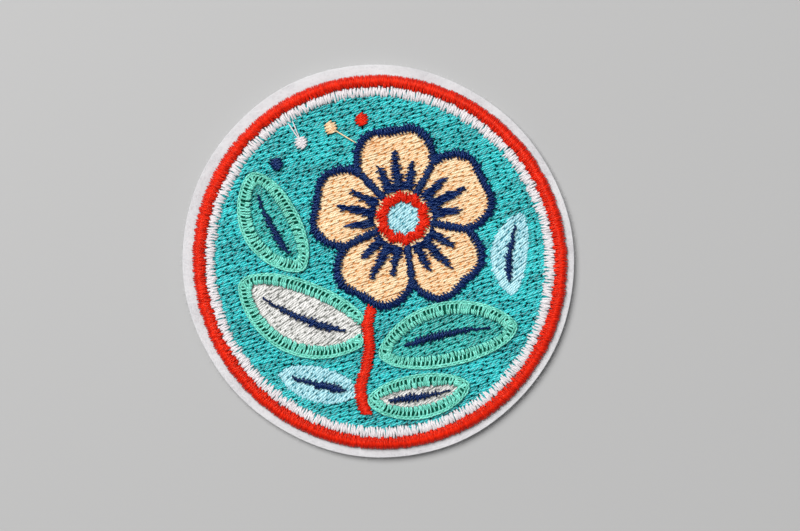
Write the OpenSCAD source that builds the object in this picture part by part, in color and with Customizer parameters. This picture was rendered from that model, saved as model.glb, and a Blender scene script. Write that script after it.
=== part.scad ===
// Round embroidered patch, lying flat on its back with the picture's top towards +Y.
// A hand-cut felt disc carries a raised thread border, a plain thread ring and a picture
// of a five-petal blossom on a stem with leaves. Filled areas lie side by side on the felt,
// and outlines, veins and dots lie on the filled areas. Lengths are in millimetres.

/* [Felt] */
// Mean diameter of the felt disc
patch_d = 76; // [66:0.5:90]
// Thickness of the felt
felt_t = 1.5; // [1:0.1:3]
// How much narrower the disc is along the pull of the thread, in percent
pull_percent = 1.9; // [0:0.1:4]
// Direction of that pull, turned from +X
pull_angle = 40; // [0:1:180]
// Depth of the waver that the scissors left in the felt's edge
cut_waver = 0.12; // [0.02:0.01:0.25]

/* [Border and ring] */
// Bare felt outside the border
felt_margin = 1.8; // [1:0.1:3]
// Width of the raised border
border_w = 2.1; // [1.4:0.1:3.2]
// Height of the border's crown above the felt
border_h = 1.2; // [0.7:0.1:2]
// Width of the plain ring inside the border
ring_w = 2.4; // [1.4:0.1:3.2]
// Height of the ring's crown above the felt
ring_h = 0.9; // [0.5:0.1:1.6]
// How far right of the felt's centre the stitching lies
shift_x = 0.3; // [-0.6:0.1:0.6]
// How far above the felt's centre the stitching lies
shift_y = -0.2; // [-0.6:0.1:0.6]

/* [Stitched layers] */
// Thickness of the filled areas
fill_t = 0.55; // [0.3:0.05:1]
// Thickness of the outlines on the filled areas
satin_t = 0.55; // [0.3:0.05:1]
// Play between pieces that lie side by side
seam = 0.15; // [0.05:0.05:0.3]
// Play under each stitched piece
lift = 0.05; // [0.02:0.01:0.1]

/* [Blossom] */
// How far right of the picture's centre the blossom's centre lies
blossom_x = 4.5; // [3:0.5:5.5]
// How far above the picture's centre the blossom's centre lies
blossom_y = 8.5; // [7.5:0.5:9.5]
// Turn of the blossom
blossom_turn = 8; // [0:1:16]
// Reach of the petals from the blossom's centre
petal_reach = 18.3; // [16:0.1:19]
// Width of a petal at its widest, before its neighbours cut it
petal_w = 16.2; // [14:0.1:17.5]
// Depth of the notch in a petal's tip
petal_notch = 1.3; // [0.5:0.1:2]
// Width of the outline around the petals
outline_w = 1.5; // [1:0.1:1.8]
// Width of the lines between the petals
divider_w = 1; // [0.7:0.1:1.3]
// Length of the longest tooth of a petal's shading
shade_l = 8; // [5:0.5:9]
// Radius of the heart, where the petals meet it
heart_r = 4.1; // [3:0.1:5]
// Width of the thread ring around the heart
heart_ring_w = 1.9; // [1.4:0.1:2.4]
// Waver of that ring
heart_waver = 0.3; // [0.1:0.05:0.5]

/* [Stem and leaves] */
// Width of the stem
stem_w = 2; // [1.4:0.1:2.6]
// Waver of the stem to each side
stem_waver = 0.7; // [0.2:0.1:1.2]
// Width of the open stitching around the large leaves
edging_w = 2.4; // [1.6:0.1:2.6]
// Width of a leaf's vein at its widest
vein_w = 1.3; // [0.8:0.1:1.8]
// Diameter of a seed dot
dot_d = 2.4; // [1.8:0.1:3]

/* [Hidden] */
// Radii of the stitching, from the felt's edge inwards
border_r = patch_d / 2 - felt_margin;
ring_r = border_r - border_w;
picture_r = ring_r - ring_w;

// Heights at which the two layers of stitching start
fill_z = felt_t + lift;
satin_z = fill_z + fill_t + lift;

// Petals run from inside the heart to their reach. Their shape is an ellipse, fuller
// towards the tip, and a higher notch_power makes the notch narrower.
petal_count = 5;
petal_pitch = 360 / petal_count;
petal_base = 0.3 * heart_r;
petal_half = (petal_reach - petal_base) / 2;
petal_mid = (petal_reach + petal_base) / 2;
petal_body = 0.9;
petal_fullness = 0.2;
notch_power = 12;
divider_share = 0.62;

// Shading: half the angle that it spans, its teeth, and how it shortens towards its sides
shade_span = 27;
shade_teeth = 3;
shade_root = 1.2;
shade_side_loss = 0.45;
tooth_power = 2.2;
shade_foot = heart_r + heart_ring_w / 2 + heart_waver + seam;

// Leaves, in shares of the picture's radius: place of the base, turn, length, width and
// bend of the spine. EDGED says whether open stitching runs around the leaf.
BASE_X = 0;
BASE_Y = 1;
TURN = 2;
LENGTH = 3;
WIDTH = 4;
BEND = 5;
EDGED = 6;
leaves = [
    [-0.08, -0.44, 158, 0.80, 0.37, 0.06, true],
    [0.03, -0.56, 12, 0.79, 0.31, 0.04, true],
    [-0.13, -0.80, 166, 0.50, 0.21, 0.01, false],
    [-0.04, -0.845, 9, 0.56, 0.19, -0.02, true],
    [-0.49, -0.02, 118, 0.60, 0.28, 0.04, true],
    [0.80, -0.20, 83, 0.50, 0.22, 0.04, false],
];
edged = [for (i = [1:len(leaves)]) if (leaves[i - 1][EDGED]) i];
tip_power = 1.3;

// A vein runs over this part of its leaf's spine, and is widest nearer its base
vein_start_share = 0.16;
vein_end_share = 0.84;
vein_skew = 0.6;

// Seed dots, in shares of the picture's radius
dots = [[-0.11, 0.87], [-0.30, 0.82], [-0.48, 0.73], [-0.63, 0.60]];

// Stem: its ends and bow in shares of the picture's radius, and how many times it wavers
stem_top = [0, -0.2];
stem_foot = [-0.08, -0.93];
stem_bow = 0.05;
stem_waves = 1.5;

ring_steps = 120;
dome_steps = 6;
curve_steps = 60;
leaf_steps = 44;
shade_steps = 36;
vein_steps = 12;
dot_steps = 16;

function polar(r, a) = [r * cos(a), r * sin(a)];

// Radius r at angle a, made narrower along the pull
function pulled(r, a) = r * (1 - pull_percent / 200 * cos(2 * (a - pull_angle)));

// Edge of the felt at angle a: the pulled circle with the waver of the cut
function felt_edge(a) =
    pulled(patch_d / 2, a) + cut_waver * (0.6 * sin(4 * a + 50) + 0.4 * sin(10 * a));

// The angles of a full turn, in n steps
function turn(n) = [for (i = [0:n - 1]) i * 360 / n];

// Section of a crowned band from r_in to r_out: flat below, half an ellipse above
function crown(r_in, r_out, h) =
    [for (j = [0:dome_steps])
        let (a = 180 - j * 180 / dome_steps)
        [(r_in + r_out) / 2 + (r_out - r_in) / 2 * cos(a), h * sin(a)]];

// Outline of a petal along +X from the blossom's centre, moved outwards by grow
function petal_points(grow) =
    [for (a = turn(curve_steps))
        [
            petal_mid + (petal_half + grow) * cos(a) - petal_notch * pow(max(0, cos(a)), notch_power),
            (petal_w / 2 + grow) * sin(a) * (petal_body + petal_fullness * cos(a))
        ]];

// Point on a leaf's spine at share t of its length, along +X from its base
function spine(leaf, t) = picture_r * [leaf[LENGTH] * t, leaf[BEND] * 4 * t * (1 - t)];

// Outline of a leaf along +X from its base, moved outwards by grow
function leaf_points(leaf, grow) =
    [for (a = turn(leaf_steps))
        let (side = sign(sin(a)) * pow(abs(sin(a)), tip_power))
        spine(leaf, (1 - cos(a)) / 2) + [-grow * cos(a), (picture_r * leaf[WIDTH] / 2 + grow) * side]];

// Point on a leaf's vein at share s of its length, and half the vein's width there
function vein_point(leaf, s) = spine(leaf, vein_start_share + (vein_end_share - vein_start_share) * s);
function vein_half(s) = vein_w / 2 * sin(180 * pow(s, vein_skew));

// Centre line of the stem at share t of its length
function stem_point(t) =
    let (run = stem_foot - stem_top)
    let (across = [run[1], -run[0]] / norm(run))
    let (bow = picture_r * stem_bow * 4 * t * (1 - t))
    picture_r * (stem_top + run * t) + across * (stem_waver * sin(360 * stem_waves * t) + bow);

// How far a petal's shading reaches from its foot at angle a
function shade_reach(a) =
    let (tooth = pow(abs(cos(90 * shade_teeth * a / shade_span)), tooth_power))
    shade_root + (shade_l - shade_root) * (1 - shade_side_loss * abs(a) / shade_span) * tooth;

// All the stitching lies a little off the felt's centre
module stitched() translate([shift_x, shift_y, 0]) children();

module fill_layer() stitched() translate([0, 0, fill_z]) linear_extrude(fill_t) children();

module satin_layer() stitched() translate([0, 0, satin_z]) linear_extrude(satin_t) children();

module at_blossom() translate([blossom_x, blossom_y]) rotate(90 + blossom_turn) children();

module at_petal(i) at_blossom() rotate((i - 1) * petal_pitch) children();

module at_leaf(i)
    translate(picture_r * [leaves[i - 1][BASE_X], leaves[i - 1][BASE_Y]])
        rotate(leaves[i - 1][TURN]) children();

// Band around the picture between two radii, with a crowned top
module crowned_ring(r_in, r_out, h) {
    section = crown(r_in, r_out, h);
    n = len(section);
    points = [for (a = turn(ring_steps)) for (p = section) concat(polar(pulled(p[0], a), a), p[1])];
    faces = [for (i = [0:ring_steps - 1]) for (j = [0:n - 1])
        let (here = i * n, next = ((i + 1) % ring_steps) * n, k = (j + 1) % n)
        [here + j, here + k, next + k, next + j]];
    stitched() translate([0, 0, fill_z]) polyhedron(points, faces);
}

module picture_shape(grow) polygon([for (a = turn(ring_steps)) polar(pulled(picture_r + grow, a), a)]);

module petal_shape(grow) polygon(petal_points(grow));

module all_petals(grow) for (i = [1:petal_count]) at_petal(i) petal_shape(grow);

// The sector that one petal may fill, half a seam from each neighbour's
module petal_sector() {
    half = petal_pitch / 2;
    tip = [seam / 2 / sin(half), 0];
    far = 2 * petal_reach;
    polygon([tip, tip + polar(far, -half), tip + [far, 0], tip + polar(far, half)]);
}

module divider() translate([0, -divider_w / 2]) square([divider_share * petal_reach, divider_w]);

module heart_shape(grow) at_blossom() polygon([for (a = turn(curve_steps)) polar(heart_r + grow, a)]);

// The ring around the heart wavers twice for each petal
module heart_ring_shape(grow) at_blossom() polygon([for (a = turn(curve_steps))
    polar(heart_r + grow + heart_waver * cos(2 * petal_count * a), a)]);

module leaf_shape(i, grow) at_leaf(i) polygon(leaf_points(leaves[i - 1], grow));

module stem_shape(grow) {
    half = [stem_w / 2 + grow, 0];
    ts = [for (j = [0:curve_steps]) j / curve_steps];
    backwards = [for (j = [curve_steps:-1:0]) ts[j]];
    polygon(concat([for (t = ts) stem_point(t) + half], [for (t = backwards) stem_point(t) - half]));
}

module felt_base() color("gainsboro")
    linear_extrude(felt_t) polygon([for (a = turn(ring_steps)) polar(felt_edge(a), a)]);

module red_border() color("crimson") crowned_ring(ring_r, border_r, border_h);

module white_ring() color("white") crowned_ring(picture_r, ring_r - seam, ring_h);

// Filled ground around the blossom and the leaves
module ground() color("lightseagreen") fill_layer() difference() {
    picture_shape(-seam);
    all_petals(seam);
    heart_shape(seam);
    for (i = [1:len(leaves)]) leaf_shape(i, seam);
}

module petal(i) color("navajowhite") fill_layer() difference() {
    at_petal(i) intersection() {
        petal_shape(0);
        petal_sector();
    }
    heart_shape(seam);
}

// Shading at a petal's foot, in teeth that point outwards
module shade(i) color("midnightblue") satin_layer() at_petal(i) {
    angles = [for (j = [0:shade_steps]) shade_span * (2 * j / shade_steps - 1)];
    backwards = [for (j = [shade_steps:-1:0]) angles[j]];
    polygon(concat(
        [for (a = angles) polar(shade_foot + shade_reach(a), a)],
        [for (a = backwards) polar(shade_foot, a)]));
}

// Outline around the petals, with a line between each petal and the next
module petal_outline() color("midnightblue") satin_layer() difference() {
    union() {
        difference() {
            all_petals(outline_w / 2);
            all_petals(-outline_w / 2);
        }
        for (i = [1:petal_count]) at_petal(i) rotate(petal_pitch / 2) divider();
    }
    heart_ring_shape(heart_ring_w / 2 + seam);
}

module heart() color("lightblue") fill_layer() heart_shape(0);

module heart_ring() color("crimson") satin_layer() difference() {
    heart_ring_shape(heart_ring_w / 2);
    heart_ring_shape(-heart_ring_w / 2);
}

module stem() color("crimson") satin_layer() difference() {
    stem_shape(0);
    all_petals(outline_w / 2 + seam);
}

module leaf(i) color(["lightblue", "silver", "cadetblue"][i % 3]) fill_layer() difference() {
    intersection() {
        leaf_shape(i, 0);
        picture_shape(-seam);
    }
    all_petals(seam);
}

// Vein along a leaf's spine, tapered to both ends
module vein(i) color("midnightblue") satin_layer() at_leaf(i) {
    leaf = leaves[i - 1];
    shares = [for (j = [0:vein_steps]) j / vein_steps];
    backwards = [for (j = [vein_steps - 1:-1:1]) shares[j]];
    polygon(concat(
        [for (s = shares) vein_point(leaf, s) + [0, vein_half(s)]],
        [for (s = backwards) vein_point(leaf, s) - [0, vein_half(s)]]));
}

// Open stitching around a large leaf, behind the stem and the petals' outline
module edging(i) color("mediumaquamarine") satin_layer() difference() {
    intersection() {
        leaf_shape(i, edging_w / 2);
        picture_shape(-seam);
    }
    leaf_shape(i, -edging_w / 2);
    stem_shape(seam);
    all_petals(outline_w / 2 + seam);
}

module dot(i) color("navajowhite") satin_layer()
    translate(picture_r * dots[i - 1]) polygon([for (a = turn(dot_steps)) polar(dot_d / 2, a)]);

felt_base();
red_border();
white_ring();
ground();
for (i = [1:petal_count]) petal(i);
for (i = [1:petal_count]) shade(i);
petal_outline();
heart();
heart_ring();
stem();
for (i = [1:len(leaves)]) leaf(i);
for (i = [1:len(leaves)]) vein(i);
for (i = edged) edging(i);
for (i = [1:len(dots)]) dot(i);
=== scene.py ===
# Round embroidered patch: thread, felt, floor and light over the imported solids.
import math
import random

import bmesh
import bpy
import numpy as np
from mathutils import Matrix, Vector


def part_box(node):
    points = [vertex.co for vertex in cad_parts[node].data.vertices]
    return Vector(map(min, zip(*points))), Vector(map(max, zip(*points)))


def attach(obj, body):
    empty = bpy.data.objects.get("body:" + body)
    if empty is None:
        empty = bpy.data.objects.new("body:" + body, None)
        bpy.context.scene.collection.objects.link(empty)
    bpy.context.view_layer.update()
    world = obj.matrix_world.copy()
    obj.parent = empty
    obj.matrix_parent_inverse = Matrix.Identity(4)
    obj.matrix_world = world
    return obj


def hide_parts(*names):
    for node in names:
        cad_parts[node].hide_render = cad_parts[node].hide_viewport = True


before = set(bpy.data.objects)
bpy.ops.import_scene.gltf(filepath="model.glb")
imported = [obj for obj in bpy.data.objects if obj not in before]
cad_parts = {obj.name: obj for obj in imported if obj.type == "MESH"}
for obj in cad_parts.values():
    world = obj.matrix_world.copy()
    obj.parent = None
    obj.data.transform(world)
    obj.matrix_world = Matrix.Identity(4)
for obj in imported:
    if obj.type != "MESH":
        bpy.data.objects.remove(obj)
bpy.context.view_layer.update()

mm = 0.001
weldGap = 0.001 * mm
chance = random.Random(7)

# The felt's box is the patch's own, and the camera, floor and lamps are set from it
patchLow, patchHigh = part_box("felt_base")
patchCentre = (patchLow + patchHigh) / 2
scene = bpy.context.scene
print("frame loaded:", len(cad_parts), "solids")


# Camera, floor and light

view = {
    "lens": 85.0,
    "sensor": 36.0,
    "clipStart": 0.01,
    "seenWidth": 155.1 * mm,
    "aside": Vector((4.2 * mm, -0.85 * mm, 0)),
}

lamps = {
    "window": {"at": (-0.86, 0.94, 1.85), "size": 1.65, "watts": 68.0, "tint": (1.0, 0.995, 0.99)},
    "fill": {"at": (1.35, -0.30, 1.50), "size": 1.50, "watts": 5.5, "tint": (0.97, 0.985, 1.0)},
}

room = {"floorGrey": 0.42, "floorRoughness": 0.6, "floorSize": 3.0, "skyGrey": 0.15}


def placeCamera():
    camera = bpy.data.cameras.new("camera")
    camera.lens = view["lens"]
    camera.sensor_width = view["sensor"]
    camera.clip_start = view["clipStart"]
    holder = bpy.data.objects.new("camera", camera)
    distance = view["seenWidth"] * view["lens"] / view["sensor"]
    above = Vector((patchCentre.x, patchCentre.y, patchHigh.z + distance))
    holder.location = above + view["aside"]
    scene.collection.objects.link(holder)
    scene.camera = holder


def placeLamp(name, lamp):
    light = bpy.data.lights.new(name, "AREA")
    light.shape = "DISK"
    light.size = lamp["size"]
    light.energy = lamp["watts"]
    light.color = lamp["tint"]
    holder = bpy.data.objects.new(name, light)
    holder.location = lamp["at"]
    aim = patchCentre - holder.location
    holder.rotation_euler = aim.to_track_quat("-Z", "Y").to_euler()
    scene.collection.objects.link(holder)


def plainMaterial(name, colour, roughness):
    material = bpy.data.materials.new(name)
    material.use_nodes = True
    shader = material.node_tree.nodes["Principled BSDF"]
    shader.inputs["Base Color"].default_value = (*colour, 1)
    shader.inputs["Roughness"].default_value = roughness
    return material


def layFloor():
    bm = bmesh.new()
    bmesh.ops.create_grid(bm, x_segments=1, y_segments=1, size=room["floorSize"] / 2)
    mesh = bpy.data.meshes.new("floor")
    bm.to_mesh(mesh)
    bm.free()
    grey = room["floorGrey"]
    mesh.materials.append(plainMaterial("floorPaint", (grey, grey, grey), room["floorRoughness"]))
    floor = bpy.data.objects.new("floor", mesh)
    floor.location.z = patchLow.z
    scene.collection.objects.link(floor)


def lightTheRoom():
    world = bpy.data.worlds.new("room")
    world.use_nodes = True
    grey = room["skyGrey"]
    world.node_tree.nodes["Background"].inputs["Color"].default_value = (grey, grey, grey, 1)
    scene.world = world
    scene.view_settings.view_transform = "Standard"


placeCamera()
layFloor()
lightTheRoom()
for lampName, lamp in lamps.items():
    placeLamp(lampName, lamp)
print("camera, floor and light placed")


# Thread and felt materials

# The colour of each thread, as seen in daylight (sRGB), and of its shadows
# Some have a gloss of their own, and a tint for it
threads = {
    "thread_red": {
        "lit": (248, 41, 14),
        "deep": (148, 0, 2),
        "gloss": 0.5,
        "tint": (255, 160, 130),
    },
    "thread_white": {"lit": (239, 233, 234), "deep": (198, 193, 198)},
    "thread_teal": {"lit": (48, 223, 226), "deep": (0, 6, 26)},
    "thread_deep_teal": {"lit": (64, 214, 206), "deep": (0, 44, 46)},
    "thread_peach": {"lit": (252, 235, 195), "deep": (234, 164, 98)},
    "thread_navy": {
        "lit": (0, 30, 92),
        "deep": (0, 2, 12),
        "gloss": 0.70,
        "tint": (145, 185, 255),
    },
    "thread_light_blue": {"lit": (202, 248, 255), "deep": (80, 162, 178)},
    "thread_grey": {"lit": (247, 245, 242), "deep": (158, 160, 155)},
    "thread_mint": {"lit": (148, 255, 236), "deep": (0, 130, 102)},
}

threadFinish = {
    "roughness": 0.25,
    "gloss": 0.54,
    "tint": (255, 255, 255),
    "sheen": 0.02,
    "sheenRoughness": 0.4,
    "shadeSwing": 0.24,
    "patchSwing": 0.10,
    "patchSize": 220.0,
    "plies": 2.0,
    "plyLength": 1.15,
    "plyGrooveShade": 0.80,
    "groovePower": 4.0,
    "filaments": 7.0,
    "filamentRelief": 0.22,
    "filamentShade": 0.05,
    "bump": 0.6,
    "relief": 0.06 * mm,
    "holeStart": 0.04,
    "holeReach": 0.34,
    "darkRange": (-0.3, 1.0),
}
noiseRange = (0.3, 0.7)  # nearly all of a noise lies between these


def linear(colour):
    shares = [part / 255 for part in colour]
    return [s / 12.92 if s <= 0.04045 else ((s + 0.055) / 1.055) ** 2.4 for s in shares]


class NodeDesk:
    # Short calls for adding and joining shader nodes

    def __init__(self, name):
        self.material = bpy.data.materials.new(name)
        self.material.use_nodes = True
        self.nodes = self.material.node_tree.nodes
        self.links = self.material.node_tree.links
        self.shader = self.nodes["Principled BSDF"]

    def add(self, kind, inputs=None, **settings):
        node = self.nodes.new(kind)
        for key, value in settings.items():
            setattr(node, key, value)
        for key, value in (inputs or {}).items():
            if isinstance(value, bpy.types.NodeSocket):
                self.links.new(value, node.inputs[key])
            else:
                node.inputs[key].default_value = value
        return node

    def maths(self, operation, first, second=0.0):
        inputs = {0: first, 1: second}
        return self.add("ShaderNodeMath", inputs, operation=operation).outputs[0]

    def fit(self, value, low, high, toLow=0.0, toHigh=1.0):
        inputs = {
            "Value": value,
            "From Min": low,
            "From Max": high,
            "To Min": toLow,
            "To Max": toHigh,
        }
        return self.add("ShaderNodeMapRange", inputs).outputs["Result"]

    def mix(self, share, first, second):
        inputs = {0: share, 6: first, 7: second}
        return self.add("ShaderNodeMix", inputs, data_type="RGBA").outputs[2]

    def noise(self, place, scale, detail, distortion=0.0):
        inputs = {"Vector": place, "Scale": scale, "Detail": detail, "Distortion": distortion}
        return self.add("ShaderNodeTexNoise", inputs).outputs["Fac"]

    def bump(self, height, strength, relief):
        inputs = {"Height": height, "Strength": strength, "Distance": relief}
        normal = self.add("ShaderNodeBump", inputs).outputs["Normal"]
        self.links.new(normal, self.shader.inputs["Normal"])

    def objectPlace(self):
        return self.add("ShaderNodeTexCoord").outputs["Object"]


def threadMaterial(slot, name, endDepth):
    colours = threads[slot]
    finish = threadFinish
    desk = NodeDesk(name)
    lit = (*linear(colours["lit"]), 1)
    deep = (*linear(colours["deep"]), 1)
    strand = desk.add("ShaderNodeUVMap", uv_map="strand").outputs["UV"]
    parts = desk.add("ShaderNodeSeparateXYZ", {"Vector": strand})
    along, around = parts.outputs["X"], parts.outputs["Y"]
    span = desk.add("ShaderNodeAttribute", attribute_name="span").outputs["Fac"]
    travel = desk.maths("MULTIPLY", along, span)
    # The ends dive into the cloth, and there their colour is painted toward the shadow colour:
    # painted shade in the needle holes
    fromMiddle = desk.maths("ABSOLUTE", desk.maths("SUBTRACT", along, 0.5))
    fromEnd = desk.maths("MULTIPLY", desk.maths("SUBTRACT", 0.5, fromMiddle), span)
    paintedEndShade = desk.fit(fromEnd, finish["holeStart"], finish["holeReach"], 1.0, 0.0)
    # The plies wind round each strand, with a groove between them whose colour gets painted shade
    wind = desk.maths(
        "ADD",
        desk.maths("MULTIPLY", around, finish["plies"]),
        desk.maths("DIVIDE", travel, finish["plyLength"]),
    )
    crown = desk.fit(desk.maths("COSINE", desk.maths("MULTIPLY", wind, 2 * math.pi)), -1, 1, 1, 0)
    groove = desk.maths("POWER", desk.maths("SUBTRACT", 1.0, crown), finish["groovePower"])
    # Every strand is a little lighter or darker than the next
    shade = desk.add("ShaderNodeAttribute", attribute_name="shade").outputs["Fac"]
    patches = desk.noise(desk.objectPlace(), finish["patchSize"], 2.0)
    own = desk.fit(shade, -1, 1, -finish["shadeSwing"], finish["shadeSwing"])
    wide = desk.fit(patches, *noiseRange, -finish["patchSwing"], finish["patchSwing"])
    # Painted shade: the needle holes and the grooves between the plies are painted toward the
    # shadow colour
    paintedHollowShade = desk.maths(
        "MAXIMUM",
        desk.maths("MULTIPLY", paintedEndShade, endDepth),
        desk.maths("MULTIPLY", groove, finish["plyGrooveShade"]),
    )
    lines = desk.maths("SINE", desk.maths("MULTIPLY", wind, 2 * math.pi * finish["filaments"]))
    streaks = desk.maths("MULTIPLY", lines, finish["filamentShade"])
    faint = desk.maths("ADD", desk.maths("ADD", own, wide), streaks)
    # The painted shade and each strand's own random tone together pick between the lit and the
    # shadow colour
    paintedShadeAndTone = desk.maths("ADD", paintedHollowShade, faint)
    colour = desk.mix(desk.fit(paintedShadeAndTone, *finish["darkRange"]), lit, deep)
    desk.links.new(colour, desk.shader.inputs["Base Color"])
    # Fine filaments run along the plies
    height = desk.maths("ADD", crown, desk.maths("MULTIPLY", lines, finish["filamentRelief"]))
    desk.bump(height, finish["bump"], finish["relief"])
    tint = linear(colours.get("tint", finish["tint"]))
    desk.shader.inputs["Roughness"].default_value = finish["roughness"]
    desk.shader.inputs["Specular IOR Level"].default_value = colours.get("gloss", finish["gloss"])
    desk.shader.inputs["Specular Tint"].default_value = (*tint, 1)
    desk.shader.inputs["Sheen Weight"].default_value = finish["sheen"]
    desk.shader.inputs["Sheen Roughness"].default_value = finish["sheenRoughness"]
    return desk.material


padFinish = {"weaveScale": 1500.0, "lowShare": 0.55, "roughness": 0.8, "gloss": 0.05}


def padMaterial(slot, name, depth, brightness=1.0):
    # What shows between the strands: depth 0 has their lit colour, 1 that of their shadows
    colours = threads[slot]
    desk = NodeDesk(name)
    weave = desk.noise(desk.objectPlace(), padFinish["weaveScale"], 3.0)
    lit, deep = linear(colours["lit"]), linear(colours["deep"])
    upper = (*[(a * (1 - depth) + b * depth) * brightness for a, b in zip(lit, deep)], 1)
    lower = (*[part * padFinish["lowShare"] for part in upper[:3]], 1)
    colour = desk.mix(desk.fit(weave, *noiseRange), lower, upper)
    desk.links.new(colour, desk.shader.inputs["Base Color"])
    desk.shader.inputs["Roughness"].default_value = padFinish["roughness"]
    desk.shader.inputs["Specular IOR Level"].default_value = padFinish["gloss"]
    return desk.material


feltFinish = {
    "pale": (218, 218, 220),
    "grey": (194, 193, 196),
    "directions": (12, 57, 101, 148),
    "fibreSize": (3.4 * mm, 0.30 * mm, 1.0 * mm),
    "fibreWave": 0.8,
    "fibreWidth": 0.09,
    "lowerFibres": 0.9,
    "fibreShare": 0.45,
    "cloudScale": 170.0,
    "toneRange": (0.45, 1.0),
    "bump": 0.6,
    "relief": 0.07 * mm,
    "roughness": 0.95,
    "gloss": 0.2,
    "sheen": 0.35,
    "sheenRoughness": 0.5,
}


def feltMaterial():
    # Fine fibres pressed together in every direction, with faint clouds over them
    finish = feltFinish
    desk = NodeDesk("felt_cloth")
    place = desk.objectPlace()
    fibres = None
    for angle in finish["directions"]:
        turn = (0, 0, math.radians(angle))
        turned = desk.add(
            "ShaderNodeMapping",
            {"Vector": place, "Rotation": turn, "Scale": finish["fibreSize"]},
            vector_type="TEXTURE",
        ).outputs["Vector"]
        noise = desk.noise(turned, 1.0, 2.0, finish["fibreWave"])
        away = desk.maths("ABSOLUTE", desk.maths("SUBTRACT", noise, 0.5))
        ridge = desk.fit(away, 0.0, finish["fibreWidth"], 1.0, 0.0)
        if fibres is None:
            fibres = ridge
        else:
            lower = desk.maths("MULTIPLY", ridge, finish["lowerFibres"])
            fibres = desk.maths("MAXIMUM", fibres, lower)
    clouds = desk.noise(place, finish["cloudScale"], 3.0)
    tone = desk.maths("ADD", desk.maths("MULTIPLY", fibres, finish["fibreShare"]), clouds)
    pale = (*linear(finish["pale"]), 1)
    grey = (*linear(finish["grey"]), 1)
    colour = desk.mix(desk.fit(tone, *finish["toneRange"]), grey, pale)
    desk.links.new(colour, desk.shader.inputs["Base Color"])
    desk.bump(fibres, finish["bump"], finish["relief"])
    desk.shader.inputs["Roughness"].default_value = finish["roughness"]
    desk.shader.inputs["Specular IOR Level"].default_value = finish["gloss"]
    desk.shader.inputs["Sheen Weight"].default_value = finish["sheen"]
    desk.shader.inputs["Sheen Roughness"].default_value = finish["sheenRoughness"]
    return desk.material


# How far the strands' ends, and what lies under them, are painted toward the shadow colour
# (painted shade)
# Filled fields get dark painted shade in their needle holes; satin is fuller and gets hardly any
shadowDepths = {"run": (1.0, 1.0), "satin": (0.30, 0.45)}

materials = {}
for slot in threads:
    materials[slot] = {}
    for kind, (ends, under) in shadowDepths.items():
        name = slot + "_" + kind
        paints = (threadMaterial(slot, name, ends), padMaterial(slot, name + "_under", under))
        materials[slot][kind] = paints
print("thread and felt materials made")


# Reading the outlines of the solids

facingDown = -0.9  # the normals of a solid's foot lie below this


def outlineOf(node):
    # Rings of points round the foot of a solid, the longest first, with the solid on their left
    bm = bmesh.new()
    bm.from_mesh(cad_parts[node].data)
    bmesh.ops.remove_doubles(bm, verts=bm.verts, dist=weldGap)
    bm.normal_update()
    others = [face for face in bm.faces if face.normal.z > facingDown]
    bmesh.ops.delete(bm, geom=others, context="FACES")
    toVisit = {edge for edge in bm.edges if edge.is_boundary}
    rings = []
    while toVisit:
        corner = min(toVisit, key=lambda edge: edge.index).link_loops[0]
        vert = corner.vert
        ring = []
        edge = corner.edge
        while edge in toVisit:
            toVisit.remove(edge)
            vert = edge.other_vert(vert)
            ring.append((vert.co.x, vert.co.y))
            ahead = [e for e in vert.link_edges if e.is_boundary and e in toVisit]
            edge = ahead[0] if ahead else edge
        rings.append(np.array(ring[::-1]))  # the foot's faces look down
    bm.free()
    return sorted(rings, key=lambda ring: -ringLength(ring))


def ringLength(ring):
    return float(np.hypot(*(np.roll(ring, -1, axis=0) - ring).T).sum())


def centreOf(node):
    low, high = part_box(node)
    return np.array(((low.x + high.x) / 2, (low.y + high.y) / 2))


def headed(angle):
    return np.array((math.cos(angle), math.sin(angle)))


def scanRows(rings, angle, gap):
    # Where straight rows in this direction cross the outline: row number, height and pairs of ends
    ahead, across = headed(angle), headed(angle + math.pi / 2)
    starts = np.concatenate(rings)
    ends = np.concatenate([np.roll(ring, -1, axis=0) for ring in rings])
    sx, sy, ex, ey = starts @ ahead, starts @ across, ends @ ahead, ends @ across
    for row in range(math.ceil(sy.min() / gap), math.floor(sy.max() / gap) + 1):
        y = row * gap
        cut = (sy > y) != (ey > y)
        xs = np.sort(sx[cut] + (y - sy[cut]) / (ey[cut] - sy[cut]) * (ex[cut] - sx[cut]))
        yield row, y, list(zip(xs[::2], xs[1::2]))


def walkRing(ring, step, lookAhead=0.35 * mm):
    # Points at even steps along a ring, each with the direction into the solid
    closed = np.vstack([ring, ring[:1]])
    travel = np.concatenate([[0], np.cumsum(np.hypot(*np.diff(closed, axis=0).T))])
    total = travel[-1]
    count = max(3, round(total / step))

    def pointAt(distance):
        distance = distance % total
        return np.array([np.interp(distance, travel, closed[:, axis]) for axis in (0, 1)])

    for k in range(count):
        distance = total * k / count
        heading = pointAt(distance + lookAhead) - pointAt(distance - lookAhead)
        heading /= np.hypot(*heading)
        yield pointAt(distance), np.array((-heading[1], heading[0]))


def reachAcross(rings, point, direction, nearest=0.02 * mm, parallel=1e-12):
    # The distance from a point on the outline to the next edge in this direction
    starts = np.concatenate(rings)
    sides = np.concatenate([np.roll(ring, -1, axis=0) for ring in rings]) - starts
    toStart = starts - point
    cross = direction[0] * sides[:, 1] - direction[1] * sides[:, 0]
    cross = np.where(abs(cross) < parallel, parallel, cross)
    ahead = (toStart[:, 0] * sides[:, 1] - toStart[:, 1] * sides[:, 0]) / cross
    share = (toStart[:, 0] * direction[1] - toStart[:, 1] * direction[0]) / cross
    hits = ahead[(share >= 0) & (share <= 1) & (ahead > nearest)]
    return float(hits.min()) if len(hits) else 0.0


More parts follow.
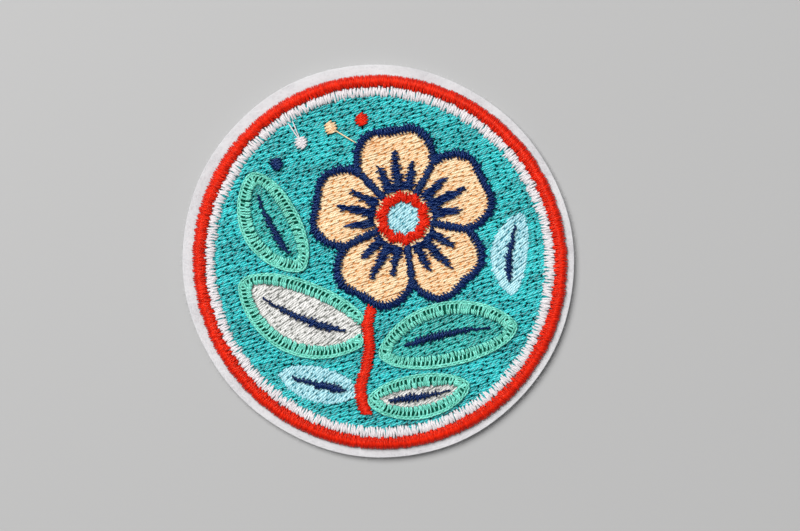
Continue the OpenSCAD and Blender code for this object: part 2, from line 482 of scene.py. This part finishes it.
def isInside(rings, point):
    starts = np.concatenate(rings)
    ends = np.concatenate([np.roll(ring, -1, axis=0) for ring in rings])
    cut = (starts[:, 1] > point[1]) != (ends[:, 1] > point[1])
    a, b = starts[cut], ends[cut]
    crossings = a[:, 0] + (point[1] - a[:, 1]) / (b[:, 1] - a[:, 1]) * (b[:, 0] - a[:, 0])
    return int((crossings > point[0]).sum()) % 2 == 1


# Laying out the stitches: each is (start, end) on the plane of its piece

def tatamiStitches(rings, fill):
    # Long rows of run stitches, each second row half a stitch on
    ahead, across = headed(fill["angle"]), headed(fill["angle"] + math.pi / 2)
    length, shortest = fill["length"], fill["shortest"]
    stitches = []
    for row, y, spans in scanRows(rings, fill["angle"], fill["rowGap"]):
        shift = length * (0.5 * (row % 2) + fill["start"])
        for left, right in spans:
            left -= fill["overlap"] + chance.uniform(-1, 1) * fill["ragged"]
            right += fill["overlap"] + chance.uniform(-1, 1) * fill["ragged"]
            if right - left < shortest / 2:
                continue
            stops = [left]
            x = math.ceil((left - shift) / length) * length + shift
            while x < right:
                stop = x + chance.gauss(0, fill["jitter"])
                if stop - stops[-1] > shortest and right - stop > shortest:
                    stops.append(stop)
                x += length
            stops.append(right)
            for a, b in zip(stops, stops[1:]):
                drift = [chance.gauss(0, fill["drift"]) for _ in range(2)]
                start = ahead * a + across * (y + drift[0])
                end = ahead * b + across * (y + drift[1])
                stitches.append((start, end))
    return stitches


crossing = {"shortest": 0.3, "longest": 1.3}  # stitches across a band, as shares of its width


def acrossStitches(rings, satin, centre=None):
    # Zigzag across a band: two strands fan out from each point of its outer edge
    # Where a centre is given, every edge is walked, and only stitches that head for it are kept
    stitches = []
    lean = math.atan2(satin["pitch"] / 2, satin["width"])
    walked = rings[:1] if centre is None else rings
    for ring in walked:
        for point, inward in walkRing(ring, satin["pitch"]):
            for side in (-1, 1):
                angle = math.atan2(inward[1], inward[0]) + side * lean + satin["slant"]
                angle += chance.gauss(0, satin["wander"])
                direction = headed(angle)
                reach = reachAcross(rings, point, direction)
                reach = min(reach, satin["width"] * crossing["longest"])
                if reach < satin["width"] * crossing["shortest"]:
                    continue
                end = point + direction * reach
                if not isInside(rings, (point + end) / 2):
                    continue
                if centre is not None and np.hypot(*(centre - point)) < np.hypot(*(centre - end)):
                    continue
                outside = satin["outside"] + chance.uniform(-1, 1) * satin["ragged"]
                inside = satin["inside"] + chance.uniform(-1, 1) * satin["ragged"]
                stitches.append((point - direction * outside, end + direction * inside))
    return stitches


def scannedStitches(rings, satin, keep=None):
    # Satin laid straight across a strip, every second strand leaning the other way
    ahead, across = headed(satin["angle"]), headed(satin["angle"] + math.pi / 2)
    stitches = []
    for row, y, spans in scanRows(rings, satin["angle"], satin["pitch"] / 2):
        if chance.random() < satin["missed"]:
            continue
        lean = satin["pitch"] / 4 * (1 if row % 2 else -1) + chance.gauss(0, satin["leanSwing"])
        for left, right in spans:
            middle = ahead * (left + right) / 2 + across * y
            if keep is not None and not keep(middle, right - left):
                continue
            left -= satin["outside"] + chance.uniform(-1, 1) * satin["ragged"]
            right += satin["outside"] + chance.uniform(-1, 1) * satin["ragged"]
            pieces = max(1, math.ceil((right - left) / satin["longest"]))
            cuts = [left + (right - left) * k / pieces for k in range(pieces + 1)]
            for k in range(1, pieces):
                cuts[k] += chance.uniform(-1, 1) * satin["cutSwing"]
            for a, b in zip(cuts, cuts[1:]):
                start = ahead * a + across * (y - lean)
                end = ahead * b + across * (y + lean)
                stitches.append((start, end))
    return stitches


# Making strands and laying them

# Stations along a strand: place, height and girth, as shares
flatRun = [(0.0, -1.0, 0.40), (0.06, -0.28, 0.90), (0.20, 0.0, 1.0)]
highArch = [(0.0, 0.0, 0.30), (0.08, 0.42, 0.80), (0.25, 0.84, 1.0), (0.5, 1.0, 1.0)]
# The border's strands come down on top of the next ring
borderArch = highArch + [(0.75, 0.92, 1.0), (0.92, 0.70, 0.85), (1.0, 0.45, 0.35)]


def strandMesh(name, thread, stations, material):
    # One strand of unit length along X, drawn out of a ring of points
    path = list(stations)
    if stations[-1][0] < 1:
        firstHalf = [station for station in stations if station[0] < 0.5]
        path += [(1 - place, height, girth) for place, height, girth in reversed(firstHalf)]
    bm = bmesh.new()
    verts = bmesh.ops.create_circle(
        bm,
        cap_ends=True,
        segments=thread["sides"],
        radius=0.5,
        matrix=Matrix.Rotation(math.pi / 2, 4, "Y"),
    )["verts"]
    bmesh.ops.scale(bm, vec=(1, thread["width"], thread["thick"]), verts=verts)
    placed, height, girth = path[0]
    bmesh.ops.scale(bm, vec=(1, girth, girth), verts=verts)
    bmesh.ops.translate(bm, vec=(placed - 0.5, 0, height * thread["rise"]), verts=verts)
    uv = bm.loops.layers.uv.new("strand")
    face = bm.faces[:][0]
    for nextPlace, nextHeight, nextGirth in path[1:]:
        grown = bmesh.ops.extrude_face_region(bm, geom=[face])["geom"]
        bmesh.ops.delete(bm, geom=[face], context="FACES_ONLY")
        face = [g for g in grown if isinstance(g, bmesh.types.BMFace)][0]
        verts = [g for g in grown if isinstance(g, bmesh.types.BMVert)]
        middle = Matrix.Translation((0, 0, -height * thread["rise"]))
        growth = nextGirth / girth
        bmesh.ops.scale(bm, vec=(1, growth, growth), verts=verts, space=middle)
        step = (nextPlace - placed, 0, (nextHeight - height) * thread["rise"])
        bmesh.ops.translate(bm, vec=step, verts=verts)
        placed, height, girth = nextPlace, nextHeight, nextGirth
    openEdges = [edge for edge in bm.edges if edge.is_boundary]
    bmesh.ops.holes_fill(bm, edges=openEdges, sides=0)
    bmesh.ops.recalc_face_normals(bm, faces=bm.faces)
    heightAt = {round(place - 0.5, 5): rise * thread["rise"] for place, rise, _ in path}
    for face in bm.faces:
        face.smooth = True
        turns = []
        for loop in face.loops:
            co = loop.vert.co
            middleHeight = heightAt[min(heightAt, key=lambda place: abs(place - co.x))]
            angle = math.atan2((co.z - middleHeight) / thread["thick"], co.y / thread["width"])
            turns.append(angle / (2 * math.pi))
        for loop, turn in zip(face.loops, turns):
            if turn - min(turns) > 0.5:
                turn -= 1
            loop[uv].uv = (loop.vert.co.x + 0.5, turn + 1)
    mesh = bpy.data.meshes.new(name)
    bm.to_mesh(mesh)
    bm.free()
    mesh.materials.append(material)
    return mesh


def sideways(vert, wallTilt=0.5):
    # The level direction out of the walls that meet at a vertex
    walls = [face.normal for face in vert.link_faces if abs(face.normal.z) < wallTilt]
    way = Vector((0, 0, 0))
    for wall in walls:
        way += Vector((wall.x, wall.y, 0))
    return way.normalized() if way.length > 0 else way


def padMesh(node, share, material, inset):
    # The solid's own shape, pressed down and drawn in, to close the ground between the strands
    bm = bmesh.new()
    bm.from_mesh(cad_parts[node].data)
    bmesh.ops.remove_doubles(bm, verts=bm.verts, dist=weldGap)
    bm.normal_update()
    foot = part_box(node)[0].z
    atFoot = Matrix.Translation((0, 0, -foot))
    outwards = {vert: sideways(vert) for vert in bm.verts}
    for vert, way in outwards.items():
        vert.co -= way * inset
    bmesh.ops.scale(bm, vec=(1, 1, share), verts=bm.verts, space=atFoot)
    for layer in list(bm.loops.layers.uv):
        bm.loops.layers.uv.remove(layer)
    mesh = bpy.data.meshes.new(node + "_pad")
    bm.to_mesh(mesh)
    bm.free()
    mesh.materials.append(material)
    return mesh


def layingNodes():
    # Geometry Nodes: a strand on every point, realized, with the pad joined on
    group = bpy.data.node_groups.new("layStrands", "GeometryNodeTree")
    face = group.interface
    face.new_socket("Geometry", in_out="INPUT", socket_type="NodeSocketGeometry")
    face.new_socket("Strand", in_out="INPUT", socket_type="NodeSocketObject")
    face.new_socket("Pad", in_out="INPUT", socket_type="NodeSocketObject")
    face.new_socket("Geometry", in_out="OUTPUT", socket_type="NodeSocketGeometry")
    add, link = group.nodes.new, group.links.new
    given, result = add("NodeGroupInput"), add("NodeGroupOutput")
    turn, size = add("GeometryNodeInputNamedAttribute"), add("GeometryNodeInputNamedAttribute")
    for node, name in ((turn, "turn"), (size, "size")):
        node.data_type = "FLOAT_VECTOR"
        node.inputs["Name"].default_value = name
    rotate = add("FunctionNodeEulerToRotation")
    strand, pad = add("GeometryNodeObjectInfo"), add("GeometryNodeObjectInfo")
    place = add("GeometryNodeInstanceOnPoints")
    realize, join = add("GeometryNodeRealizeInstances"), add("GeometryNodeJoinGeometry")
    link(given.outputs["Geometry"], place.inputs["Points"])
    link(given.outputs["Strand"], strand.inputs["Object"])
    link(given.outputs["Pad"], pad.inputs["Object"])
    link(strand.outputs["Geometry"], place.inputs["Instance"])
    link(turn.outputs["Attribute"], rotate.inputs["Euler"])
    link(rotate.outputs["Rotation"], place.inputs["Rotation"])
    link(size.outputs["Attribute"], place.inputs["Scale"])
    link(place.outputs["Instances"], realize.inputs["Geometry"])
    link(realize.outputs["Geometry"], join.inputs["Geometry"])
    link(pad.outputs["Geometry"], join.inputs["Geometry"])  # linked last, so it comes first
    link(join.outputs["Geometry"], result.inputs["Geometry"])
    return group


layStrands = layingNodes()
girthRange = (0.90, 1.08)  # of the thinnest and the thickest strand


def pointsMesh(name, stitches, height, swing):
    # One point per stitch, carrying its turn, its stretch and its own shade
    starts = np.array([stitch[0] for stitch in stitches])
    ends = np.array([stitch[1] for stitch in stitches])
    lift = np.array([chance.uniform(-1, 1) * swing for _ in stitches])
    middles = np.column_stack([(starts + ends) / 2, height + lift])
    run = ends - starts
    mesh = bpy.data.meshes.new(name)
    mesh.from_pydata(middles.tolist(), [], [])
    zeros, ones = np.zeros(len(run)), np.ones(len(run))
    turn = np.column_stack([zeros, zeros, np.arctan2(run[:, 1], run[:, 0])])
    girth = np.array([chance.uniform(*girthRange) for _ in stitches])
    size = np.column_stack([np.hypot(run[:, 0], run[:, 1]), girth, ones])
    shade = np.array([chance.uniform(-1, 1) for _ in stitches])
    for label, kind, key, values in (
        ("turn", "FLOAT_VECTOR", "vector", turn),
        ("size", "FLOAT_VECTOR", "vector", size),
        ("shade", "FLOAT", "value", shade),
        ("span", "FLOAT", "value", size[:, 0] / mm),
    ):
        mesh.attributes.new(label, kind, "POINT").data.foreach_set(key, values.ravel())
    return mesh


def newObject(name, mesh):
    holder = bpy.data.objects.new(name, mesh)
    scene.collection.objects.link(holder)
    return holder


# Places on the flat map of the baked colours, as shares of its side
bakeMap = {
    "upSide": 0.76,
    "downStart": 0.78,
    "downSide": 0.21,
    "facingDown": -0.05,
    "lean": 0.15,
    "margin": 1.04,
}


def mapFromAbove(mesh):
    # A large square for the faces that look up, and a small one for those that look down
    corners = np.empty(len(mesh.loops), dtype=np.int32)
    mesh.loops.foreach_get("vertex_index", corners)
    points = np.empty(len(mesh.vertices) * 3, dtype=np.float32)
    mesh.vertices.foreach_get("co", points)
    points = points.reshape(-1, 3)[corners]
    normals = np.empty(len(mesh.polygons) * 3, dtype=np.float32)
    mesh.polygons.foreach_get("normal", normals)
    sizes = np.empty(len(mesh.polygons), dtype=np.int32)
    mesh.polygons.foreach_get("loop_total", sizes)
    looksDown = np.repeat(normals.reshape(-1, 3)[:, 2] < bakeMap["facingDown"], sizes)
    low, high = points.min(axis=0), points.max(axis=0)
    span = max(high[0] - low[0], high[1] - low[1]) * bakeMap["margin"]
    u = (points[:, 0] - low[0] + bakeMap["lean"] * (points[:, 2] - low[2])) / span
    v = (points[:, 1] - low[1] + bakeMap["lean"] * (points[:, 2] - low[2])) / span
    u = np.where(looksDown, bakeMap["downStart"] + bakeMap["downSide"] * u, bakeMap["upSide"] * u)
    v = np.where(looksDown, bakeMap["downSide"] * v, bakeMap["upSide"] * v)
    layer = mesh.uv_layers.new(name="OFBake")
    layer.data.foreach_set("uv", np.column_stack([u, v]).astype(np.float32).ravel())


def laidTogether(name, points, strand, pad):
    # Strands and what lies under them become one mesh
    holder = newObject(name + "_points", points)
    strandHolder = newObject(name + "_strand", strand)
    padHolder = newObject(name + "_pad", pad)
    modifier = holder.modifiers.new("layStrands", "NODES")
    modifier.node_group = layStrands
    inputs = [item for item in layStrands.interface.items_tree if item.in_out == "INPUT"]
    sockets = {item.name: item.identifier for item in inputs}
    modifier[sockets["Strand"]] = strandHolder
    modifier[sockets["Pad"]] = padHolder
    depsgraph = bpy.context.evaluated_depsgraph_get()
    mesh = bpy.data.meshes.new_from_object(
        holder.evaluated_get(depsgraph), preserve_all_data_layers=True, depsgraph=depsgraph
    )
    mesh.name = name
    for spare in (holder, strandHolder, padHolder):
        bpy.data.objects.remove(spare)
    mapFromAbove(mesh)
    return newObject(name, mesh)


def dressNode(node, slot, stitches, thread, stations, padShare, inset=0.0, under=None):
    # The stitched piece that stands for a solid
    threadPaint, underPaint = materials[slot]["run" if stations is flatRun else "satin"]
    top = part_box(node)[1].z - thread["thick"] / 2
    height = top if stations is flatRun else top - thread["rise"]
    points = pointsMesh(node + "_points", stitches, height, thread["swing"])
    strand = strandMesh(node + "_strand", thread, stations, threadPaint)
    pad = padMesh(node, padShare, under or underPaint, inset)
    piece = laidTogether(node + "_stitched", points, strand, pad)
    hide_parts(node)
    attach(piece, "root")


# The felt

feltCut = {"edgeRound": 0.12 * mm, "edgeSteps": 3, "levelFrom": 0.99}

fuzz = {
    "pitch": 0.36 * mm,
    "length": 0.62 * mm,
    "swing": 0.35 * mm,
    "turn": 1.0,
    "rootDepth": 0.25 * mm,
    "hair": {
        "width": 0.035 * mm,
        "thick": 0.035 * mm,
        "rise": 0.10 * mm,
        "sides": 4,
        "swing": 0.5 * mm,
    },
}


def feltMesh():
    low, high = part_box("felt_base")
    bm = bmesh.new()
    ring = outlineOf("felt_base")[0]
    verts = [bm.verts.new((x, y, low.z)) for x, y in ring]
    face = bm.faces.new(verts)
    grown = bmesh.ops.extrude_face_region(bm, geom=[face])["geom"]
    bmesh.ops.translate(
        bm,
        vec=(0, 0, high.z - low.z),
        verts=[g for g in grown if isinstance(g, bmesh.types.BMVert)],
    )
    bmesh.ops.recalc_face_normals(bm, faces=bm.faces)
    rims = [edge for edge in bm.edges if abs(edge.verts[0].co.z - edge.verts[1].co.z) < weldGap]
    bmesh.ops.bevel(
        bm,
        geom=rims,
        offset=feltCut["edgeRound"],
        segments=feltCut["edgeSteps"],
        profile=0.5,
        affect="EDGES",
        material=-1,
    )
    for face in bm.faces:
        face.smooth = abs(face.normal.z) < feltCut["levelFrom"]
    mesh = bpy.data.meshes.new("felt_cut")
    bm.to_mesh(mesh)
    bm.free()
    return mesh


def fuzzHairs():
    # Short hairs that stand out of the cut edge, every way
    hairs = []
    for point, inward in walkRing(outlineOf("felt_base")[0], fuzz["pitch"]):
        heading = math.atan2(-inward[1], -inward[0]) + chance.gauss(0, fuzz["turn"])
        length = fuzz["length"] + chance.uniform(-1, 1) * fuzz["swing"]
        start = point + inward * chance.uniform(0, fuzz["rootDepth"])
        hairs.append((start, start + headed(heading) * length))
    return hairs


def cutFelt():
    low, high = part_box("felt_base")
    paint = feltMaterial()
    mesh = feltMesh()
    mesh.materials.append(paint)
    middle = (low.z + high.z) / 2
    hairPoints = pointsMesh("felt_fuzz_points", fuzzHairs(), middle, fuzz["hair"]["swing"])
    hair = strandMesh("felt_hair", fuzz["hair"], highArch, paint)
    felt = laidTogether("felt_cut", hairPoints, hair, mesh)
    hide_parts("felt_base")
    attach(felt, "root")


cutFelt()
print("felt cut")


# The filled fields

fields = {
    "rowGap": 0.407 * mm,
    "length": 3.8 * mm,
    "shortest": 0.9 * mm,
    "overlap": 0.36 * mm,
    "underRing": 0.60 * mm,
    "ragged": 0.24 * mm,
    "jitter": 0.46 * mm,
    "drift": 0.070 * mm,
    "padShare": 0.45,
}
fieldThread = {
    "width": 0.46 * mm,
    "thick": 0.30 * mm,
    "rise": 0.34 * mm,
    "sides": 8,
    "swing": 0.03 * mm,
}

# The thread of each field, and the direction of its rows in degrees
fillPlans = {
    "ground": ("thread_teal", 19),
    "heart": ("thread_light_blue", 38),
    "leaf_1": ("thread_grey", 35),
    "leaf_2": ("thread_deep_teal", 24),
    "leaf_3": ("thread_light_blue", 40),
    "leaf_4": ("thread_grey", 35),
    "leaf_5": ("thread_deep_teal", 24),
    "leaf_6": ("thread_light_blue", 40),
}
fillPlans.update({f"petal_{k}": ("thread_peach", 19) for k in range(1, 6)})


def fillField(node, slot, angle):
    fill = {**fields, "angle": math.radians(angle), "start": chance.random()}
    outlines = outlineOf(node)
    if node == "ground":
        # It runs on under the white ring
        spokes = outlines[0] - centreOf(node)
        outlines[0] = outlines[0] + spokes / np.hypot(*spokes.T)[:, None] * fields["underRing"]
    stitches = tatamiStitches(outlines, fill)
    dressNode(node, slot, stitches, fieldThread, flatRun, fields["padShare"])
    return len(stitches)


total = 0
for node, (slot, angle) in fillPlans.items():
    total += fillField(node, slot, angle)
print("fields filled:", total, "stitches")


# The border and the white ring

rings = {
    "red_border": {
        "slot": "thread_red",
        "under": "thread_red",
        "arch": borderArch,
        "pitch": 0.42 * mm,
        "outside": 0.04 * mm,
        "spill": 0.12 * mm,
        "outsideRagged": 0.12 * mm,
        "inside": 0.10 * mm,
        "insideRagged": 0.16 * mm,
        "comb": 0.34 * mm,
        "combChance": 0.85,
        "wander": 0.12,
        "loose": 1.0,
        "thread": {
            "width": 0.40 * mm,
            "thick": 0.24 * mm,
            "rise": 0.84 * mm,
            "sides": 8,
            "swing": 0.03 * mm,
        },
        "padShare": 0.84,
        "inset": 0.36 * mm,
    },
    "white_ring": {
        "slot": "thread_white",
        "under": "thread_teal",
        "arch": highArch,
        "pitch": 0.58 * mm,
        "outside": 0.16 * mm,
        "spill": 0.10 * mm,
        "outsideRagged": 0.30 * mm,
        "inside": -0.34 * mm,
        "insideRagged": 0.25 * mm,
        "comb": 0.20 * mm,
        "combChance": 0.85,
        "wander": 0.22,
        "loose": 0.6,
        "thread": {
            "width": 0.40 * mm,
            "thick": 0.26 * mm,
            "rise": 0.34 * mm,
            "sides": 8,
            "swing": 0.04 * mm,
        },
        "padShare": 0.80,
        "inset": 0.65 * mm,
    },
}
looseSide = math.radians(190)  # here and straight across, the rings are stitched most loosely


def reachRound(ring, centre):
    # The ring's distance from its centre, by angle
    spokes = ring - centre
    angles = np.arctan2(spokes[:, 1], spokes[:, 0])
    order = np.argsort(angles)
    reaches = np.hypot(spokes[:, 0], spokes[:, 1])[order]
    angles = angles[order]
    return lambda angle: float(np.interp(angle, angles, reaches, period=2 * math.pi))


def ringStitches(node):
    # A zigzag wound round: out and in again between the needle holes of the two edges
    band = rings[node]
    centre = centreOf(node)
    low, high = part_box(node)
    outer, inner = [reachRound(ring, centre) for ring in outlineOf(node)[:2]]
    count = round(math.pi * (high.x - low.x) / band["pitch"])
    step = 2 * math.pi / count
    stitches = []
    for k in range(count):
        # Every second needle hole lies further in, as the teeth of a comb
        comb = band["comb"] if k % 2 and chance.random() < band["combChance"] else 0
        for side in (-0.5, 0.5):
            outerAngle = (k + chance.gauss(0, band["wander"])) * step
            innerAngle = (k + side + chance.gauss(0, band["wander"])) * step
            slack = 1 + band["loose"] * math.cos(outerAngle - looseSide) ** 2
            reach = outer(outerAngle) + band["outside"] + band["spill"] * (slack - 1)
            reach += chance.uniform(-1, 1) * band["outsideRagged"] * slack
            ragged = chance.uniform(-1, 1) * band["insideRagged"] * slack
            back = inner(innerAngle) - band["inside"] - comb - ragged
            start = centre + headed(outerAngle) * reach
            end = centre + headed(innerAngle) * back
            stitches.append((start, end))
    return stitches


for node, band in rings.items():
    stitches = ringStitches(node)
    under = materials[band["under"]]["satin"][1]
    dressNode(
        node,
        band["slot"],
        stitches,
        band["thread"],
        band["arch"],
        band["padShare"],
        band["inset"],
        under,
    )
    print(node, "wound:", len(stitches), "stitches")


# The satin outlines, shading, stem and veins

satin = {
    "pitch": 0.66 * mm,
    "width": 1.5 * mm,
    "slant": math.radians(20),
    "outside": 0.16 * mm,
    "inside": 0.16 * mm,
    "ragged": 0.34 * mm,
    "wander": math.radians(5),
    "missed": 0.0,
    "longest": 4.2 * mm,
    "leanSwing": 0.05 * mm,
    "cutSwing": 0.5 * mm,
    "padShare": 0.55,
    "inset": 0.24 * mm,
}
satinThread = {
    "width": 0.37 * mm,
    "thick": 0.28 * mm,
    "rise": 0.32 * mm,
    "sides": 8,
    "swing": 0.03 * mm,
}


def dressSatin(node, slot, stitches):
    dressNode(node, slot, stitches, satinThread, highArch, satin["padShare"], satin["inset"])
    return len(stitches)


# The outline runs round the petals, and a short line parts each pair
divider = {
    "reach": 0.5 * mm,
    "longest": 1.8 * mm,
    "underHeart": 0.5 * mm,
    "tilt": math.radians(14),
    "outside": 0.05 * mm,
}
blossom = centreOf("heart_ring")
outlineRings = outlineOf("petal_outline")
outlineStitches = acrossStitches(outlineRings, satin)
petalHeadings = sorted(math.atan2(*(centreOf(f"petal_{k}") - blossom)[::-1]) for k in range(1, 6))
heartReach = (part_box("heart_ring")[1].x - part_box("heart_ring")[0].x) / 2
for first, second in zip(petalHeadings, petalHeadings[1:] + [petalHeadings[0] + 2 * math.pi]):
    heading = (first + second) / 2
    aside = headed(heading + math.pi / 2)

    def onDivider(middle, length):
        fromHeart = middle - blossom
        nearLine = abs(fromHeart @ aside) < divider["reach"]
        beyondHeart = fromHeart @ headed(heading) > heartReach - divider["underHeart"]
        return nearLine and beyondHeart and length < divider["longest"]

    tilt = heading + math.pi / 2 + divider["tilt"]
    strip = {**satin, "angle": tilt, "outside": divider["outside"]}
    outlineStitches += scannedStitches(outlineRings, strip, onDivider)
print("petal_outline:", dressSatin("petal_outline", "thread_navy", outlineStitches), "stitches")

# What each strip changes in the satin
shading = {
    **satin,
    "angle": math.radians(12),
    "pitch": 0.60 * mm,
    "outside": 0.14 * mm,
    "ragged": 0.46 * mm,
    "missed": 0.10,
    "longest": 3.0 * mm,
}
heartBand = {**satin, "width": 1.9 * mm, "slant": math.radians(10)}
stemStrip = {**satin, "angle": math.radians(20), "pitch": 0.46 * mm, "ragged": 0.26 * mm}
dotStrip = {**satin, "angle": math.radians(25), "pitch": 0.56 * mm, "ragged": 0.10 * mm}
dotThreads = ("thread_red", "thread_peach", "thread_white", "thread_navy")
veinTilt = math.radians(64)  # from the vein's own line to its stitches

for k in range(1, 6):
    stitches = scannedStitches(outlineOf(f"shade_{k}"), shading)
    dressSatin(f"shade_{k}", "thread_navy", stitches)
dressSatin("heart_ring", "thread_red", acrossStitches(outlineOf("heart_ring"), heartBand))
dressSatin("stem", "thread_red", scannedStitches(outlineOf("stem"), stemStrip))
for k in range(1, 7):
    ring = outlineOf(f"vein_{k}")[0]
    spread = np.linalg.svd(ring - ring.mean(axis=0))[2][0]
    heading = math.atan2(spread[1], spread[0])
    strip = {**satin, "angle": heading + veinTilt}
    dressSatin(f"vein_{k}", "thread_navy", scannedStitches([ring], strip))
for k, slot in enumerate(dotThreads, 1):
    dressSatin(f"dot_{k}", slot, scannedStitches(outlineOf(f"dot_{k}"), dotStrip))
print("outlines, shading, stem, veins and dots stitched")


# The ladder edging round four leaves

ladder = {
    "pitch": 0.42 * mm,
    "width": 2.4 * mm,
    "slant": math.radians(-4),
    "outside": 0.02 * mm,
    "inside": 0.12 * mm,
    "ragged": 0.05 * mm,
    "wander": math.radians(3),
    "columnShare": 0.46,
    "lineShares": (0.01, 0.16),
    "columnLean": 0.18 * mm,
    "columnRagged": 0.14 * mm,
    "lineStep": 3,
    "longestLine": 1.5,
    "rungStart": 0.06,
    "rungEnd": 0.7,
    "rungSway": 0.10 * mm,
    "spareRung": 0.20,
    "gapBrightness": 0.46,
    "padShare": 0.2,
    "inset": 0.2 * mm,
}
ladderThread = {
    "width": 0.37 * mm,
    "thick": 0.32 * mm,
    "rise": 0.24 * mm,
    "sides": 8,
    "swing": 0.03 * mm,
}


def ladderStitches(bandRings, centre):
    # Two lines along the outside, a narrow satin column along the inside, and rungs between them
    chords = acrossStitches(bandRings, ladder, centre)[::2]
    column, step = ladder["columnShare"], ladder["lineStep"]
    stitches = []
    for k, (outer, inner) in enumerate(chords):
        run = inner - outer
        aside = np.array((-run[1], run[0])) / np.hypot(*run)
        lean = aside * ladder["columnLean"]
        ragged = run / np.hypot(*run) * chance.uniform(-1, 1) * ladder["columnRagged"]
        stitches.append((inner - run * column - lean, inner + lean + ragged))
        if k % 2 == 0 or chance.random() < ladder["spareRung"]:
            sway = aside * chance.gauss(0, ladder["rungSway"])
            start = outer + run * ladder["rungStart"] - sway
            stitches.append((start, inner - run * column * ladder["rungEnd"] + sway))
        share = ladder["lineShares"][k % 2]
        aheadOuter, aheadInner = chords[(k + step) % len(chords)]
        start = outer + run * share
        end = aheadOuter + (aheadInner - aheadOuter) * share
        if np.hypot(*(end - start)) < ladder["longestLine"] * step * ladder["pitch"]:
            stitches.append((start, end))
    return stitches


# The gaps between the rungs are painted in the mint's shadow colour and darkened further: painted
# shade
gaps = padMaterial("thread_mint", "thread_mint_gaps", 1.0, ladder["gapBrightness"])
for k in (1, 2, 4, 5):
    stitches = ladderStitches(outlineOf(f"edging_{k}"), centreOf(f"leaf_{k}"))
    dressNode(
        f"edging_{k}",
        "thread_mint",
        stitches,
        ladderThread,
        highArch,
        ladder["padShare"],
        ladder["inset"],
        gaps,
    )
print("edgings laid")


# Loose threads that jump from a dot to what was stitched next

jumps = {
    "jump_white": {
        "slot": "thread_white",
        "dot": "dot_3",
        "headings": (112, 124),
        "start": 0.6 * mm,
        "end": 4.6 * mm,
    },
    "jump_peach": {
        "slot": "thread_peach",
        "dot": "dot_2",
        "headings": (-31,),
        "start": 0.6 * mm,
        "end": 6.0 * mm,
    },
}
jumpThread = {
    "width": 0.26 * mm,
    "thick": 0.22 * mm,
    "rise": 0.34 * mm,
    "sides": 8,
    "swing": 0.04 * mm,
}

for name, jump in jumps.items():
    dot = centreOf(jump["dot"])
    stitches = []
    for angle in jump["headings"]:
        heading = headed(math.radians(angle))
        stitches.append((dot + heading * jump["start"], dot + heading * jump["end"]))
    points = pointsMesh(name + "_points", stitches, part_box("ground")[1].z, jumpThread["swing"])
    paint = materials[jump["slot"]]["satin"][0]
    strand = strandMesh(name + "_strand", jumpThread, highArch, paint)
    piece = laidTogether(name, points, strand, bpy.data.meshes.new(name + "_pad"))
    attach(piece, "root")
print("jump threads laid")
